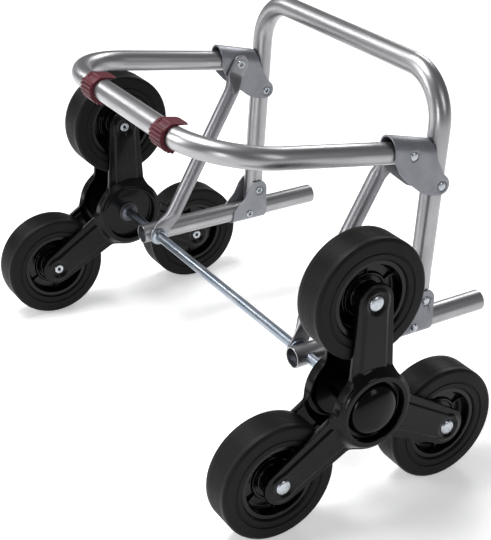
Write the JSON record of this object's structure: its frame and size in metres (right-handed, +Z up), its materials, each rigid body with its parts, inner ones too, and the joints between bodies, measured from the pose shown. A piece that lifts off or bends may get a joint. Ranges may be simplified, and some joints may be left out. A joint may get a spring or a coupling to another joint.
{
  "type": "shopping trolley chassis",
  "caption": "Folding wheeled chassis of a shopping trolley: tube frame with a load hoop, a foot frame and stair-climbing wheel stars on one axle.",
  "frame": {"origin": "on the floor under the middle of the chassis, which stands on four of its six wheels with the main tubes level", "axes": "+X across the trolley along the axle, +Y along the main tubes towards the handle end, +Z up"},
  "size_m": [0.652, 0.4244, 0.4354],
  "materials": {
    "tube_aluminium": "satin drawn tube",
    "stay_aluminium": "satin drawn tube, darker",
    "bracket_steel": "grey zinc sheet",
    "axle_zinc": "blue zinc rod",
    "bright_zinc": "bright zinc fasteners",
    "black_enamel": "gloss black enamel",
    "tyre_rubber": "satin rubber",
    "rim_plastic": "black moulded",
    "cap_plastic": "black moulded",
    "bush_nylon": "dark nylon",
    "clip_plastic": "wine red moulded"
  },
  "bodies": {
    "chassis": {"left_main_tube": "tube_aluminium", "right_main_tube": "tube_aluminium", "axle_rod": "axle_zinc", "stay_washers": "bright_zinc", "stay_clips": "bright_zinc", "hub_clips": "bright_zinc", "left_lower_bracket": "bracket_steel", "right_lower_bracket": "bracket_steel", "hoop_pivot_rivets": "bright_zinc", "bracket_rivets": "bright_zinc"},
    "hoop": {"platform_hoop": "tube_aluminium"},
    "upper_brackets": {"left_upper_bracket": "bracket_steel", "right_upper_bracket": "bracket_steel", "link_rivets": "bright_zinc", "foot_rivets": "bright_zinc"},
    "foot_frame": {"foot_tube": "tube_aluminium", "left_foot_clip": "clip_plastic", "right_foot_clip": "clip_plastic"},
    "stays": {"left_stay": "stay_aluminium", "right_stay": "stay_aluminium", "stay_rivets": "bright_zinc"},
    "left_star": {"left_outer_plate": "black_enamel", "left_inner_plate": "black_enamel", "left_hub_barrel": "black_enamel", "left_hub_bushes": "bush_nylon", "left_hub_cap": "cap_plastic", "left_wheel_pins": "bright_zinc"},
    "left_top_wheel": {"left_top_tyre": "tyre_rubber", "left_top_rim": "rim_plastic", "left_top_wheel_bush": "bright_zinc"},
    "left_front_wheel": {"left_front_tyre": "tyre_rubber", "left_front_rim": "rim_plastic", "left_front_wheel_bush": "bright_zinc"},
    "left_rear_wheel": {"left_rear_tyre": "tyre_rubber", "left_rear_rim": "rim_plastic", "left_rear_wheel_bush": "bright_zinc"},
    "right_star": {"right_outer_plate": "black_enamel", "right_inner_plate": "black_enamel", "right_hub_barrel": "black_enamel", "right_hub_bushes": "bush_nylon", "right_hub_cap": "cap_plastic", "right_wheel_pins": "bright_zinc"},
    "right_top_wheel": {"right_top_tyre": "tyre_rubber", "right_top_rim": "rim_plastic", "right_top_wheel_bush": "bright_zinc"},
    "right_front_wheel": {"right_front_tyre": "tyre_rubber", "right_front_rim": "rim_plastic", "right_front_wheel_bush": "bright_zinc"},
    "right_rear_wheel": {"right_rear_tyre": "tyre_rubber", "right_rear_rim": "rim_plastic", "right_rear_wheel_bush": "bright_zinc"}
  },
  "joints": [
    {"name": "platform_fold", "type": "hinge", "parent": "chassis", "child": "hoop", "pos_m": [0, 0.11973, 0.15945], "axis": [-1, 0, 0], "range_deg": [0, 70]},
    {"name": "bracket_swing", "type": "hinge", "parent": "hoop", "child": "upper_brackets", "pos_m": [0, 0.12973, 0.30155], "axis": [1, 0, 0], "range_deg": [0, 102.66]},
    {"name": "foot_swing", "type": "hinge", "parent": "upper_brackets", "child": "foot_frame", "pos_m": [0, 0.08803, 0.34545], "axis": [-1, 0, 0], "range_deg": [0, 10.2]},
    {"name": "stay_swing", "type": "hinge", "parent": "chassis", "child": "stays", "pos_m": [0, -0.03777, 0.12925], "axis": [-1, 0, 0], "range_deg": [0, 40.22]},
    {"name": "left_star_turn", "type": "hinge", "parent": "chassis", "child": "left_star", "pos_m": [-0.285, -0.03777, 0.12925], "axis": [1, 0, 0], "continuous": true},
    {"name": "left_top_wheel_spin", "type": "hinge", "parent": "left_star", "child": "left_top_wheel", "pos_m": [-0.285, -0.03777, 0.25275], "axis": [1, 0, 0], "continuous": true},
    {"name": "left_front_wheel_spin", "type": "hinge", "parent": "left_star", "child": "left_front_wheel", "pos_m": [-0.285, -0.14473, 0.0675], "axis": [1, 0, 0], "continuous": true},
    {"name": "left_rear_wheel_spin", "type": "hinge", "parent": "left_star", "child": "left_rear_wheel", "pos_m": [-0.285, 0.06918, 0.0675], "axis": [1, 0, 0], "continuous": true},
    {"name": "right_star_turn", "type": "hinge", "parent": "chassis", "child": "right_star", "pos_m": [0.285, -0.03777, 0.12925], "axis": [1, 0, 0], "continuous": true},
    {"name": "right_top_wheel_spin", "type": "hinge", "parent": "right_star", "child": "right_top_wheel", "pos_m": [0.285, -0.03777, 0.25275], "axis": [1, 0, 0], "continuous": true},
    {"name": "right_front_wheel_spin", "type": "hinge", "parent": "right_star", "child": "right_front_wheel", "pos_m": [0.285, -0.14473, 0.0675], "axis": [1, 0, 0], "continuous": true},
    {"name": "right_rear_wheel_spin", "type": "hinge", "parent": "right_star", "child": "right_rear_wheel", "pos_m": [0.285, 0.06918, 0.0675], "axis": [1, 0, 0], "continuous": true}
  ],
  "couplings": [
    {"joint": "bracket_swing", "follows": "platform_fold", "ratio": 1.4664},
    {"joint": "foot_swing", "follows": "platform_fold", "ratio": 0.14571},
    {"joint": "stay_swing", "follows": "platform_fold", "ratio": 0.57457}
  ]
}
